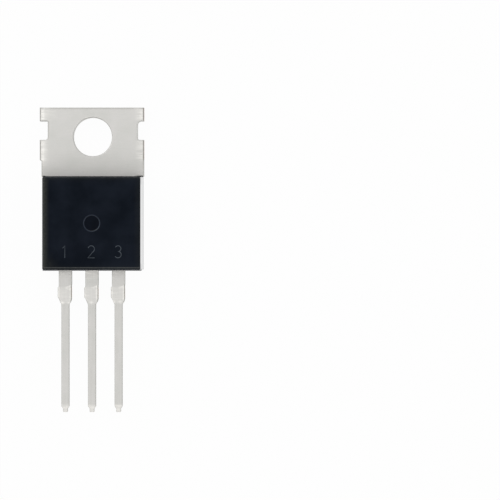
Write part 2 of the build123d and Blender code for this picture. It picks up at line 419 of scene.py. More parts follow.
class Sheet(Tree):
    """A material's node tree, with what the finishes share."""

    def __init__(self, name: str) -> None:
        """Start a material with one surface shader."""
        self.material = bpy.data.materials.new(name)
        self.material.use_nodes = True
        super().__init__(self.material.node_tree)
        self.shader = self.tree.nodes["Principled BSDF"]
        place = self.add("TexCoord").outputs["Object"]
        self.millimetres = self.stretched(place, (1 / MM, 1 / MM, 1 / MM))

    def stretched(self, source: NodeSocket, scale: Sequence[float]) -> NodeSocket:
        """Scale a vector along each axis."""
        mapping = self.add("Mapping")
        mapping.inputs["Scale"].default_value = scale
        self.feed(mapping.inputs["Vector"], source)
        return mapping.outputs["Vector"]

    def noise(self, scale: float, detail: float = 3.0, stretch: Sequence[float] = (1, 1, 1)) -> NodeSocket:
        """A soft random field from 0 to 1.

        Args:
            scale: features per millimetre.
            detail: how many finer layers it has.
            stretch: how much closer the features lie along each axis.

        Returns:
            The field's socket.
        """
        node = self.add("TexNoise")
        self.feed(node.inputs["Vector"], self.stretched(self.millimetres, stretch))
        self.feed(node.inputs["Scale"], scale)
        self.feed(node.inputs["Detail"], detail)
        return node.outputs["Fac"]

    def remap(
        self, source: NodeSocket, low: float, high: float, to_low: float = 0.0, to_high: float = 1.0
    ) -> NodeSocket:
        """Map a range of a value to another range, clamped."""
        node = self.add("MapRange")
        self.feed_all(node, source, low, high, to_low, to_high)
        return node.outputs["Result"]

    def blend(self, share: NodeSocket, first: NodeSocket | Colour, second: NodeSocket | Colour) -> NodeSocket:
        """Mix two colours by a share."""
        node = self.add("Mix", data_type="RGBA")
        for index, source in ((0, share), (6, first), (7, second)):
            self.feed(node.inputs[index], source)
        return node.outputs[2]

    def axis(self, name: str) -> NodeSocket:
        """One coordinate in millimetres: X, Y or Z."""
        node = self.add("SeparateXYZ")
        self.feed_all(node, self.millimetres)
        return node.outputs[name]

    def attribute(self, name: str) -> NodeSocket:
        """A value stored on the mesh."""
        return self.add("Attribute", attribute_name=name).outputs["Fac"]

    def bump(self, height: NodeSocket, distance_mm: float, strength: float) -> None:
        """Lay a relief over the surface, on top of any that is there already."""
        node = self.add("Bump")
        self.feed(node.inputs["Strength"], strength)
        self.feed(node.inputs["Distance"], distance_mm * MM)
        self.feed(node.inputs["Height"], height)
        normal = self.shader.inputs["Normal"]
        if normal.is_linked:
            self.feed(node.inputs["Normal"], normal.links[0].from_socket)
        self.feed(normal, node.outputs["Normal"])

    def drive(self, **values: NodeSocket | float) -> None:
        """Feed the shader's sockets; an underscore in a name stands for a space."""
        for key, value in values.items():
            self.feed(self.shader.inputs[key.replace("_", " ")], value)


@dataclass(frozen=True)
class TinPlate:
    """Matte tin over rolled copper: pale and satin, darker along its edges (partly abraded tin, partly
    painted shade), with painted shade next to the moulding and painted highlights.
    """

    light: Colour = (0.590, 0.580, 0.562)
    dark: Colour = (0.556, 0.553, 0.530)
    # Colour of the darkened edges (partly abraded, partly painted shade) and of the painted shade next to the
    # moulding.
    edge: Colour = (0.300, 0.295, 0.272)
    # Colour of painted highlights.
    rubbed: Colour = (0.830, 0.812, 0.775)
    roughness: float = 0.50
    leads_from_y: float = -8.0

    def make(self) -> Material:
        """Build the material."""
        sheet = Sheet("tinned_copper")
        fine = sheet.noise(7.0, 4.0)
        rolled = sheet.noise(9.0, 2.0, (0.06, 1.0, 1.0))
        on_tab = sheet.maths("GREATER_THAN", sheet.axis("Y"), self.leads_from_y)
        on_leads = sheet.maths("LESS_THAN", sheet.axis("Y"), self.leads_from_y)
        body = sheet.blend(sheet.remap(sheet.noise(0.7, 5.0), 0.3, 0.7), self.light, self.dark)
        streaks = sheet.remap(sheet.noise(5.0, 3.0, (0.16, 1.0, 1.0)), 0.35, 0.62, 0.25, 1.45)
        # Painted highlights, streaked, and fuller on the leads.
        shine = sheet.times(sheet.attribute(PAINTED_HIGHLIGHT), sheet.most(streaks, sheet.times(on_leads, 0.75)))
        wear = sheet.times(sheet.attribute(WEAR_AND_LIGHT), sheet.remap(fine, 0.3, 0.6, 0.7, 1.0))
        # Painted shade on the tab next to the moulding: its dark block seen in the tin's reflection.
        shade_near_moulding = sheet.remap(sheet.axis("Y"), -1.2, -3.0, 0.0, 0.10)
        drawn = sheet.remap(sheet.noise(6.0, 2.0, (1.0, 0.04, 1.0)), 0.4, 0.62, 0.0, 0.07)
        streaks_and_shade = sheet.most(sheet.times(shade_near_moulding, on_tab), sheet.times(drawn, on_leads))
        # The body colour brightened by painted highlights.
        gloss_and_highlight = sheet.blend(shine, body, self.rubbed)
        grain = sheet.maths("ADD", sheet.times(fine, 0.6), sheet.times(rolled, 0.4))
        rough = sheet.remap(grain, 0.3, 0.7, self.roughness - 0.06, self.roughness + 0.08)
        # Base colour: darkened edges, painted shade and drawn streaks on the leads, then painted highlights.
        sheet.drive(
            Base_Color=sheet.blend(sheet.most(wear, streaks_and_shade), gloss_and_highlight, self.edge),
            Roughness=sheet.maths("SUBTRACT", rough, sheet.times(shine, 0.12)),
            Metallic=1.0,
        )
        sheet.bump(grain, 0.004, 0.35)
        return sheet.material


@dataclass(frozen=True)
class ShearedCopper:
    """Bare copper where a bar was cut: a dark lip, a burnished band with pale painted highlight streaks and a
    torn, duller half.
    """

    back: float
    front: float
    lip: Colour = (0.12, 0.10, 0.10)
    burnished: Colour = (0.86, 0.58, 0.42)
    # Pale cream streaks in the burnished band: painted highlight.
    bright: Colour = (0.93, 0.83, 0.70)
    torn: Colour = (0.47, 0.36, 0.33)

    def make(self, name: str) -> Material:
        """Build the material under a name."""
        sheet = Sheet(name)
        streaks = sheet.noise(5.0, 3.0, (1.0, 1.0, 0.12))
        level = sheet.remap(sheet.axis("Z"), self.back, self.front)
        ragged = sheet.maths("ADD", level, sheet.remap(streaks, 0, 1, -0.09, 0.09))
        shiny = sheet.blend(sheet.remap(streaks, 0.4, 0.62), self.burnished, self.bright)
        halves = sheet.blend(sheet.remap(ragged, 0.44, 0.52), self.torn, shiny)
        sheet.drive(
            Base_Color=sheet.blend(sheet.remap(ragged, 0.78, 0.9), halves, self.lip),
            Roughness=sheet.remap(ragged, 0.42, 0.55, 0.62, 0.34),
            Metallic=1.0,
        )
        sheet.bump(sheet.noise(12.0, 5.0), 0.02, 0.5)
        sheet.bump(streaks, 0.015, 0.5)
        return sheet.material


@dataclass(frozen=True)
class MouldCompound:
    """Black epoxy moulding compound: blue-black, paler on rims that are partly scuffed and partly given
    painted highlight, and brighter where painted highlights lie.
    """

    name: str
    dark: Colour = (0.0024, 0.0046, 0.0090)
    pale: Colour = (0.0070, 0.0102, 0.0172)
    # Paler colour of the rims: partly scuffs, partly painted highlight.
    edge: Colour = (0.040, 0.042, 0.036)
    # Colour of painted highlights.
    highlight_colour: Colour = (0.100, 0.103, 0.100)
    roughness: float = 0.36
    ior: float = 1.5
    specular: float = 0.05
    coat: float = 0.0
    coat_ior: float = 1.2
    coat_roughness: float = 0.05
    relief: float = 1.0

    def make(self) -> Material:
        """Build the material."""
        sheet = Sheet(self.name)
        fine = sheet.noise(14.0, 3.0)
        pits = sheet.noise(5.0, 2.0)
        body = sheet.blend(sheet.remap(sheet.noise(0.45, 3.0), 0.35, 0.65), self.dark, self.pale)
        # Rims painted paler: partly scuffs, partly painted highlight.
        wear_and_light = sheet.times(sheet.attribute(WEAR_AND_LIGHT), sheet.remap(pits, 0.3, 0.65, 0.55, 1.0))
        # Painted highlights.
        lit = sheet.times(sheet.attribute(PAINTED_HIGHLIGHT), sheet.remap(pits, 0.3, 0.65, 0.6, 1.0))
        spread = 0.2 * self.roughness
        sheet.drive(
            Base_Color=sheet.blend(lit, sheet.blend(wear_and_light, body, self.edge), self.highlight_colour),
            Roughness=sheet.remap(fine, 0.3, 0.7, self.roughness - spread, self.roughness + spread),
            IOR=self.ior,
            Specular_IOR_Level=self.specular,
            Coat_Weight=self.coat,
            Coat_IOR=self.coat_ior,
            Coat_Roughness=self.coat_roughness,
        )
        sheet.bump(fine, 0.006, 0.5 * self.relief)
        sheet.bump(pits, 0.006, 0.35 * self.relief)
        return sheet.material


@dataclass(frozen=True)
class LaserMark:
    """Compound bleached by a marking laser: a dull grey, slightly broken stroke."""

    light: Colour = (0.088, 0.100, 0.118)
    dark: Colour = (0.042, 0.050, 0.062)

    def make(self) -> Material:
        """Build the material."""
        sheet = Sheet("laser_mark")
        grain = sheet.noise(16.0, 3.0)
        sheet.drive(
            Base_Color=sheet.blend(sheet.remap(grain, 0.35, 0.6), self.dark, self.light),
            Roughness=sheet.remap(grain, 0.3, 0.7, 0.6, 0.85),
            Specular_IOR_Level=0.05,
        )
        sheet.bump(grain, 0.004, 0.5)
        return sheet.material


@dataclass(frozen=True)
class InnerMetal:
    """A bright metal inside the moulding, such as solder, silicon or wire."""

    name: str
    light: Colour
    dark: Colour
    roughness: float
    grain: float

    def make(self) -> Material:
        """Build the material."""
        sheet = Sheet(self.name)
        grain = sheet.noise(self.grain, 3.0)
        sheet.drive(
            Base_Color=sheet.blend(sheet.remap(grain, 0.3, 0.7), self.dark, self.light),
            Roughness=sheet.remap(grain, 0.3, 0.7, self.roughness * 0.8, self.roughness * 1.2),
            Metallic=1.0,
        )
        sheet.bump(grain, 0.003, 0.4)
        return sheet.material


# ---- copper


@dataclass(frozen=True)
class Station:
    """One cross-section of a lead: its place along the strip, its sides and its rolled corners."""

    y: float
    gate_side: float
    source_side: float
    gate_roll: float = 0.07
    source_roll: float = 0.07
    middle_height: float = LEAD_FRONT - LEAD_THICKNESS / 2
    tilt: float = 0.0


@dataclass
class LeadShape:
    """What the three leads share, seen from the moulding's end to the tip."""

    root_y: float
    tip_y: float
    front_height: float
    half_shoulder: float = 0.635
    half_width: float = 0.385
    dam_start: float = 1.56
    dam_height: float = 1.03
    dam_stub: float = 0.1
    taper: float = 0.62
    half_nib: float = 0.23
    nib: float = 0.36
    tip_chamfer: float = 0.18
    roll: float = 0.07
    roll_drop: float = 0.8
    cut_roll: float = 0.15
    # Strengths of painted highlights on the neck, the tip and round the dam bar's cut.
    neck_highlight: float = 0.3
    drain_neck_highlight: float = 0.55
    tip_highlight: float = 0.5
    dam_highlight: float = 0.22
    far_edge_highlight: float = 0.28
    arc_highlight: float = 0.8
    heel_highlight: float = 0.65
    # How dark the long edges are painted, partly abrasion and partly painted shade, darker on the source
    # side.
    source_wear_and_shade: float = 0.6
    gate_wear_and_shade: float = 0.45
    side_zone: float = 0.06
    back_round: float = 0.02
    corner_steps: int = 5
    columns: int = 10

    @property
    def middle_height(self) -> float:
        """Height of the lead's middle plane above the back of the part."""
        return self.front_height - LEAD_THICKNESS / 2

    @property
    def dam_end(self) -> float:
        """How far from the moulding the dam bar's stub stops."""
        return self.dam_start + self.dam_height

    @property
    def nib_start(self) -> float:
        """How far from the moulding the tip's narrow nib starts."""
        return self.root_y - self.tip_y - self.nib

    def section(self, station: Station, centre_x: float) -> list[Vector]:
        """The corners of one cross-section, the front rolled and the back nearly square.

        Args:
            station: where and how wide the section is.
            centre_x: the lead's centre line.

        Returns:
            The section's points, round once.
        """
        half, rim = LEAD_THICKNESS / 2, self.back_round
        waist = -0.1 * half
        left, right = -station.gate_side, station.source_side
        start, stop = left + station.gate_roll, right - station.source_roll
        arc = quarter_round(self.corner_steps)
        flat = [
            (left + station.gate_roll * inner, half - self.roll_drop * station.gate_roll * below)
            for inner, below in arc
        ]
        flat += [(start + (stop - start) * step / self.columns, half) for step in range(1, self.columns)]
        flat += [
            (right - station.source_roll * inner, half - self.roll_drop * station.source_roll * below)
            for inner, below in reversed(arc)
        ]
        flat += [(right, waist), (right, rim - half), (right - rim, -half)]
        flat += [(left + rim, -half), (left, rim - half), (left, waist)]
        rise, run = math.cos(station.tilt), math.sin(station.tilt)
        return [
            Vector((centre_x + across, station.y + up * run, station.middle_height + up * rise))
            for across, up in flat
        ]

    def outside(self) -> list[Station]:
        """The stations of the bare lead, from the moulding to the tip.

        Returns:
            One station for each row of (distance out, gate side, source side, gate roll, source roll).
        """
        shoulder, width, nib = self.half_shoulder, self.half_width, self.half_nib
        stub = shoulder + self.dam_stub
        start, end = self.dam_start, self.dam_end
        taper_end = end + self.taper
        chamfer = self.nib_start - self.tip_chamfer
        length = self.root_y - self.tip_y
        soft, deep = self.roll, self.cut_roll
        neck = [(out, shoulder, shoulder, soft, soft) for out in (0.0, 0.2, 0.45, start - 0.42)]
        dam = [
            (start - 0.30, shoulder, shoulder, soft, soft + 0.02),
            (start - 0.22, shoulder, shoulder - 0.01, soft, 0.6 * deep),
            (start - 0.16, shoulder, shoulder - 0.02, soft, 0.8 * deep),
            (start - 0.08, shoulder, shoulder - 0.03, soft, 0.9 * deep),
            (start, shoulder + 0.01, shoulder - 0.03, soft, deep),
            (start + 0.02, stub - 0.02, shoulder - 0.03, 1.1 * soft, deep),
            (start + 0.07, stub, shoulder - 0.03, 1.2 * soft, deep),
            (start + 0.25, stub, shoulder - 0.02, 1.2 * soft, deep),
            (start + 0.45, stub - 0.01, shoulder - 0.02, 1.3 * soft, 0.9 * deep),
            (start + 0.65, stub - 0.01, shoulder - 0.02, 1.3 * soft, 0.9 * deep),
            (end - 0.16, stub, shoulder - 0.02, 1.2 * soft, deep),
            (end - 0.06, stub, shoulder - 0.02, 1.2 * soft, deep),
            (end, stub - 0.035, shoulder - 0.02, 1.2 * soft, deep),
            (end + 0.06, stub - 0.08, shoulder - 0.02, 1.2 * soft, deep),
            (end + 0.18, stub - 0.15, shoulder - 0.035, 1.2 * soft, 0.9 * deep),
            (end + 0.30, width + 0.16, shoulder - 0.07, 1.1 * soft, 0.8 * deep),
            (taper_end - 0.20, width + 0.105, width + 0.125, 1.1 * soft, 0.7 * deep),
            (taper_end - 0.12, width + 0.065, width + 0.06, 1.1 * soft, 1.3 * soft),
        ]
        shank = [
            (taper_end - 0.04, width + 0.02),
            (taper_end + 0.04, width + 0.003),
            (taper_end + 0.12, width),
            (taper_end + 0.5, width),
            (chamfer - 0.25, width),
            (chamfer - 0.05, width),
            (chamfer + 0.03, width - 0.03),
            (self.nib_start - 0.03, nib + 0.035),
            (self.nib_start + 0.02, nib),
            (length - 0.1, nib),
            (length - 0.03, nib - 0.02),
        ]
        tip = (length, nib - 0.06, nib - 0.06, 0.8 * soft, 0.8 * soft)
        rows = [*neck, *dam, *((out, half, half, soft, soft) for out, half in shank), tip]
        return [Station(self.root_y - out, *sides, self.middle_height) for out, *sides in rows]

    def highlight_at(self, across: float, out: float, phase: float) -> float:
        """How strongly a painted highlight lies on the front round the dam bar's cut.

        Args:
            across: distance from the centre line, positive towards the source.
            out: distance from the moulding.
            phase: which of the leads it is, as an angle that shifts the painted highlight spots at the taper.

        Returns:
            A number from 0 to 1.
        """
        start, end = self.dam_start, self.dam_end + 0.25
        zone = window((start - 0.05, start + 0.1), (end, end + 0.4), out)
        beside = bell(across, self.half_shoulder - 0.155, 0.07)
        beside *= window((start - 0.2, start), (end - 0.1, end + 0.15), out)
        step = start + 0.06 - 0.30 * max(across / self.half_shoulder, 0.0) ** 2
        arc = self.arc_highlight * bell(out, step, 0.05) * smooth_step(-0.15, 0.25, across)
        heel = self.heel_highlight * bell(out, self.dam_end + 0.45 + 0.05 * math.sin(phase), 0.12)
        heel *= 0.5 + 0.5 * math.cos(9 * across + phase)
        far_edge = self.far_edge_highlight * fade(0.1, 0.25, self.half_shoulder + self.dam_stub + across)
        return min(zone * (self.dam_highlight + far_edge) + beside + arc + heel, 1.0)

    def wear_and_shade_at(self, across: float, out: float, side: float) -> float:
        """How dark a place on the front's edges is painted: a lip at the dam bar's cut, and edges that are
        partly abraded and partly painted shade.

        Args:
            across: distance from the centre line, positive towards the source.
            out: distance from the moulding.
            side: the lead's half width there.

        Returns:
            A number from 0 to 1.
        """
        start, end = self.dam_start, self.dam_end
        in_dam = window((start - 0.35, start - 0.1), (end + 0.2, end + 0.5), out)
        lip = in_dam * fade(0.075, 0.12, side - across)
        # Long edges painted darker: partly abrasion, partly painted shade.
        source_edge = self.source_wear_and_shade * fade(0.02, 0.10, side - across)
        gate_edge = self.gate_wear_and_shade * fade(0.015, 0.07, side + across)
        return min(lip + source_edge + gate_edge, 1.0)

    def in_cut(self, out: float) -> bool:
        """Whether a distance from the moulding lies where the dam bar was cut off."""
        return self.dam_start + 0.02 < out < self.dam_end + 0.02

    def build(self, bm: BMesh, centre_x: float, inside: Sequence[Station], cut: int) -> None:
        """Add one lead to a mesh.

        Args:
            bm: the mesh to add to.
            centre_x: the lead's centre line.
            inside: the stations inside the moulding, ending at its edge.
            cut: the index of the sheared copper's material.
        """
        stations = [*inside, *self.outside()]
        verts = loft(bm, [self.section(station, centre_x) for station in stations])
        self.mark_finish(bm, verts, centre_x)
        for face in touching(verts, "link_faces"):
            middle = face.calc_center_median()
            face.normal_update()
            from_shoulder = self.half_shoulder - abs(middle.x - centre_x)
            beside = abs(face.normal.x) > SIDE_ON and from_shoulder < self.side_zone
            at_tip = abs(face.normal.y) > SIDE_ON and middle.y < self.tip_y + 0.01
            if (beside and self.in_cut(self.root_y - middle.y)) or at_tip:
                face.material_index = cut

    def mark_finish(self, bm: BMesh, verts: Sequence[BMVert], centre_x: float) -> None:
        """Store how dark each point of the bare lead is painted, partly abrasion and partly painted shade,
        and how much painted highlight it carries.
        """
        wear, shine = finish_layers(bm)
        phase = 0.6 - 0.8 * centre_x
        neck_highlight = self.drain_neck_highlight if centre_x == 0 else self.neck_highlight
        stations = self.outside()
        for vert in verts:
            out = self.root_y - vert.co.y
            if out < 0 or vert.co.z < self.middle_height:
                continue
            across = vert.co.x - centre_x
            nearest = min(stations, key=lambda station: abs(station.y - vert.co.y))
            vert[wear] = self.wear_and_shade_at(across, out, nearest.source_side if across > 0 else nearest.gate_side)
            # Painted highlights round the dam bar's cut, on the neck and towards the tip.
            vert[shine] = max(
                self.highlight_at(across, out, phase),
                neck_highlight * fade(0.1, 0.9, out),
                self.tip_highlight * smooth_step(self.nib_start - 0.43, self.nib_start - 0.2, out),
            )


@dataclass
class PostLead:
    """The gate or the source lead: a flat strip with a wide bond post inside the moulding."""

    side: Side
    shape: LeadShape
    post_width: float = 2.3
    post_offset: float = 0.22
    post_start: float = 0.95
    post_length: float = 1.45
    post_corner: float = 0.2
    cut_index: int = 1

    def post_stations(self) -> list[Station]:
        """The stations of the bond post and of the neck that leads out of the moulding."""
        shift = self.side.value * self.post_offset
        half = self.post_width / 2
        near = self.shape.root_y + self.post_start
        far = near + self.post_length
        corner = self.post_corner
        outer = [
            Station(far - corner * inner, half - shift - corner * below, half + shift - corner * below)
            for inner, below in quarter_round(4)
        ]
        inner = [Station(near + far - row.y, row.gate_side, row.source_side) for row in reversed(outer)]
        neck = self.shape.half_shoulder
        return [*outer, *inner, Station(near - 0.01, neck, neck)]

    def build(self, name: str, materials: Sequence[Material]) -> Object:
        """Make the lead of tin plate and sheared copper, in that order."""
        bm = start_mesh()
        self.shape.build(bm, self.side.value * PITCH, self.post_stations(), self.cut_index)
        return finish_mesh(name, bm, materials)


@dataclass
class DrainFrame:
    """Tab, paddle and drain lead, stamped from one strip of thick and thin copper."""

    shape: LeadShape
    hole_radius: float
    free_edge_y: float
    half_width: float
    stub_proud: float
    notch_depth: float = 0.6
    notch_height: float = 1.8
    notch_to_edge: float = 1.3
    stub_height: float = 1.93
    stub_slope: float = 0.12
    edge_roll: float = 0.1
    half_pad: float = 3.95
    pad_length: float = 5.86
    lock_step: float = 0.3
    lock_height: float = 0.62
    joggle_flat: float = 0.45
    joggle_angle: float = 50.0
    joggle_radius: float = 0.5
    joggle_steps: int = 6
    hole_segments: int = 128
    rim_segments: int = 6
    bare_shoulders: Point = (0.3, 0.75)
    shear_reach: float = 0.75
    shear_fade: float = 1.3
    shear_drop: float = 0.035
    # Strengths of painted highlights beside the sheared sides and on the hole's rim.
    highlight_haze: float = 0.30
    wide_highlight_haze: float = 0.16
    gate_highlight_band: float = 0.24
    source_highlight_band: float = 0.30
    source_highlight_drop: float = 0.18
    gate_highlight_trail: float = 0.45
    hole_highlight: float = 0.4
    side_zone: float = 0.06

    @property
    def notch_top(self) -> float:
        """The notches' edge nearer the free edge."""
        return self.free_edge_y - self.notch_to_edge

    @property
    def notch_bottom(self) -> float:
        """The notches' edge nearer the moulding."""
        return self.notch_top - self.notch_height

    @property
    def stub_end(self) -> float:
        """Where the lower tie bar stub stops."""
        return self.notch_bottom - self.stub_height

    @property
    def pad_end_y(self) -> float:
        """The exposed pad's end inside the moulding's outline."""
        return TAB_END_Y - self.pad_length

    def side_points(self, side: Side) -> list[Vector]:
        """One side of the tab's outline, from the free edge to the tab's end."""
        proud = self.stub_proud if side is Side.GATE else 0.0
        outer = self.half_width + proud
        points = [(outer, self.free_edge_y), *self.notch_points(side, outer)]
        if proud:
            points += [(outer, self.stub_end), (self.half_width, self.stub_end - self.stub_slope)]
        points.append((self.half_width, TAB_END_Y))
        return [Vector((side.value * across, y, 0)) for across, y in points]

    def notch_points(self, side: Side, outer: float) -> list[Point]:
        """A notch's corners from the free edge down, each floor corner with its own radius."""
        floor = self.half_width - self.notch_depth
        first, second = {Side.GATE: (0.12, 0.26), Side.SOURCE: (0.34, 0.2)}[side]
        arc = quarter_round(6)
        upper = [(floor + first * below, self.notch_top - first * inner) for inner, below in arc]
        lower = [(floor + second * below, self.notch_bottom + second * inner) for inner, below in arc]
        return [(outer, self.notch_top), *upper, *reversed(lower), (outer, self.notch_bottom)]

    def build_flange(self, bm: BMesh) -> None:
        """Add the tab and the exposed pad: one notched plate with a rolled front rim."""
        pad = [Vector((self.half_pad, y, 0)) for y in (TAB_END_Y, self.pad_end_y)]
        mirrored = [Vector((-point.x, point.y, 0)) for point in reversed(pad)]
        left = list(reversed(self.side_points(Side.GATE)))
        outline = closed_loop(bm, [*self.side_points(Side.SOURCE), *pad, *mirrored, *left])
        hole = circle_loop(bm, Vector((0, 0, 0)), self.hole_radius, self.hole_segments)
        top = raise_faces(bm, fill(bm, [*outline, *hole]), TAB_THICKNESS - self.edge_roll)
        roll_rim(bm, top, self.edge_roll, self.rim_segments)

    def cut_finish_rows(self, bm: BMesh) -> None:
        """Cut rows of points near the sheared sides, where their finish and height change."""
        rim = self.half_width - self.edge_roll - FLAT_MARGIN
        reaches = [0.06, 0.14, 0.24, 0.36, 0.50, self.shear_reach, 1.1, 1.5, 1.9]
        along = [self.free_edge_y - 0.2, self.free_edge_y - 0.3, self.notch_top + 0.2]
        along += [self.notch_bottom - 0.15, self.notch_bottom - 0.4]
        along += [self.stub_end + shift for shift in (0.4, 0.1, -0.2, -0.5, -0.95)]
        cut_rows(bm, [sign * (rim - reach) for sign in (-1, 1) for reach in reaches], along)

    def beside_cut(self, y: float) -> float:
        """How surely a place along the tab lies beside a sheared tie bar, from 0 to 1."""
        upper = smooth_step(self.notch_top - 0.05, self.notch_top + 0.2, y)
        lower = fade(self.notch_bottom - 0.15, self.notch_bottom + 0.02, y)
        return max(upper, lower) * smooth_step(self.stub_end - 0.2, self.stub_end + 0.1, y)

    def soften_punched_rims(self, bm: BMesh) -> None:
        """Lighten the darkened rims of the hole and the notches, keep a half-dark rim along the strip's free
        edge, and paint a highlight on the hole's rim towards the free edge.
        """
        wear, shine = finish_layers(bm)
        hole_rim = self.hole_radius + 1.5 * self.edge_roll
        hole_roll = self.hole_radius + self.edge_roll + 0.5 * FLAT_MARGIN
        dark_rim_from = self.free_edge_y - self.edge_roll - 1.2 * FLAT_MARGIN
        for vert in bm.verts:
            x, y, z = vert.co
            from_axis = vert.co.xy.length
            if y > dark_rim_from and z > TAB_THICKNESS - HAIR:
                vert[wear] = 0.5 * EDGE_WEAR_AND_SHADE
            # A painted highlight on the hole's rim, towards the free edge.
            if from_axis < hole_roll:
                vert[shine] = self.hole_highlight * max(y / self.hole_radius, 0.0) ** 2
            if from_axis < hole_rim:
                vert[wear] *= 0.15
                continue
            in_notch = self.notch_bottom - 0.02 < y < self.notch_top + 0.02
            beside_notch = self.notch_bottom - 0.12 < y < self.notch_top + 0.12
            if beside_notch and self.half_width - abs(x) < self.notch_depth + 0.15:
                vert[wear] *= (0.9 if x < 0 else 0.3) if in_notch else 0.1

    def work_sheared_sides(self, bm: BMesh) -> None:
        """Draw the front down towards each shear, with a dark lip and a painted highlight band."""
        wear, shine = finish_layers(bm)
        for vert in bm.verts:
            x, y, z = vert.co
            if z < TAB_THICKNESS - 1.5 * self.edge_roll:
                continue
            on_gate_side = x < 0
            from_cut = self.half_width + (self.stub_proud if on_gate_side else 0.0) - abs(x)
            strength = self.beside_cut(y) * fade(self.shear_reach, self.shear_fade, from_cut)
            near = fade(0.1, self.shear_reach, from_cut)
            lip = fade(0.05, 0.13, from_cut)
            below_notch = fade(self.notch_bottom, self.notch_top, y)
            # A painted highlight band beside the dark lip, fading further in.
            band = window((0.06, 0.13), (0.30, 0.48), from_cut)
            band *= self.gate_highlight_band if on_gate_side else self.source_highlight_band - self.source_highlight_drop * below_notch
            rubbed = (1 - lip) * (band + self.highlight_haze * fade(0.4, 1.0, from_cut))
            vert[wear] = max(vert[wear] * (1 - 0.6 * strength * (1 - near)), lip * strength)
            vert[shine] = max(vert[shine], strength * rubbed)
            # On the gate side the painted highlight runs on below the notch, with a wide faint one beyond.
            if on_gate_side:
                trail = self.gate_highlight_trail * below_notch
                trail *= smooth_step(self.stub_end - 0.95, self.stub_end - 0.5, y)
                wide = window((0.5, 0.9), (1.1, 2.0), from_cut)
                wide *= smooth_step(self.notch_top - 0.05, self.notch_top + 0.2, y)
                vert[shine] = max(vert[shine], trail * rubbed) + self.wide_highlight_haze * wide
            vert.co.z -= self.shear_drop * near * near * strength

    def square_tab_end(self, bm: BMesh) -> None:
        """Take the rolled rim off the tab's end where the moulding's wall stands against it."""
        wear, _ = finish_layers(bm)
        low = -self.half_width + self.bare_shoulders[0]
        high = self.half_width - self.bare_shoulders[1]
        for vert in bm.verts:
            at_rim = vert.co.z > TAB_THICKNESS - 1.2 * self.edge_roll
            if not at_rim or vert.co.y > TAB_END_Y + 1.5 * self.edge_roll:
                continue
            if low < vert.co.x < high:
                vert.co.z = TAB_THICKNESS
                vert[wear] = 0.0
            elif abs(vert.co.x) < self.half_width - self.edge_roll:
                vert.co.z += 0.6 * (TAB_THICKNESS - vert.co.z)

    def in_cut(self, y: float) -> bool:
        """Whether a place on the tab's side lies where a tie bar was cut off."""
        return y > self.notch_top or self.stub_end < y < self.notch_bottom

    def paint_cuts(self, bm: BMesh) -> None:
        """Give the sheared sides of the tab their bare copper."""
        bm.normal_update()
        for face in bm.faces:
            middle = face.calc_center_median()
            low = min(vert.co.z for vert in face.verts)
            side_on = abs(face.normal.x) > 0.75 and abs(middle.x) > self.half_width - self.side_zone
            if side_on and self.in_cut(middle.y) and low < TAB_THICKNESS:
                face.material_index = Metal.TAB_CUT

    def build_lock(self, bm: BMesh) -> None:
        """Add the overhanging front half of the paddle, which the moulding grips."""
        half = self.half_pad + self.lock_step
        end_y = self.pad_end_y - self.lock_step
        start_y = TAB_END_Y + 0.05
        size = (2 * half, start_y - end_y, TAB_THICKNESS - self.lock_height - HAIR)
        middle = (0, (start_y + end_y) / 2, self.lock_height + size[2] / 2)
        place = Matrix.Translation(middle) @ Matrix.Diagonal((*size, 1))
        bmesh.ops.create_cube(bm, size=1.0, matrix=place)

    def joggle_stations(self) -> list[Station]:
        """The drain lead's stations inside the moulding, from the paddle up to its edge."""
        start_y = self.pad_end_y - self.lock_step
        low, high = TAB_THICKNESS - LEAD_THICKNESS / 2, self.shape.middle_height
        angle = math.radians(self.joggle_angle)
        tangent = self.joggle_radius * math.tan(angle / 2)
        first_y = start_y - self.joggle_flat
        second_y = first_y - (high - low) / math.tan(angle)
        half = self.shape.half_shoulder
        stations = [Station(start_y + self.lock_step, half, half, middle_height=low - 0.01)]
        for way, bend_y, bend_z in ((1, first_y, low), (-1, second_y, high)):
            for step in range(self.joggle_steps + 1):
                share = step / self.joggle_steps
                turn = angle * (share if way > 0 else 1 - share)
                y = bend_y + way * (tangent - self.joggle_radius * math.sin(turn))
                z = bend_z + way * self.joggle_radius * (1 - math.cos(turn))
                stations.append(Station(y, half, half, middle_height=z, tilt=turn))
        return stations

    def build(self, name: str, materials: Sequence[Material]) -> Object:
        """Make the frame.

        Args:
            name: the piece's name.
            materials: one for each Metal.

        Returns:
            The finished piece.
        """
        bm = start_mesh()
        self.build_flange(bm)
        self.cut_finish_rows(bm)
        self.soften_punched_rims(bm)
        self.work_sheared_sides(bm)
        self.square_tab_end(bm)
        self.paint_cuts(bm)
        self.build_lock(bm)
        self.shape.build(bm, 0.0, self.joggle_stations(), Metal.LEAD_CUT)
        return finish_mesh(name, bm, materials)


# ---- moulding


@dataclass(frozen=True)
class RubAndLight:
    """How pale the front is painted along one side, partly scuffing and partly painted highlight: on its rim,
    in a painted highlight line there, and over the flat.
    """

    rim: float
    line: float
    highlight_haze: float


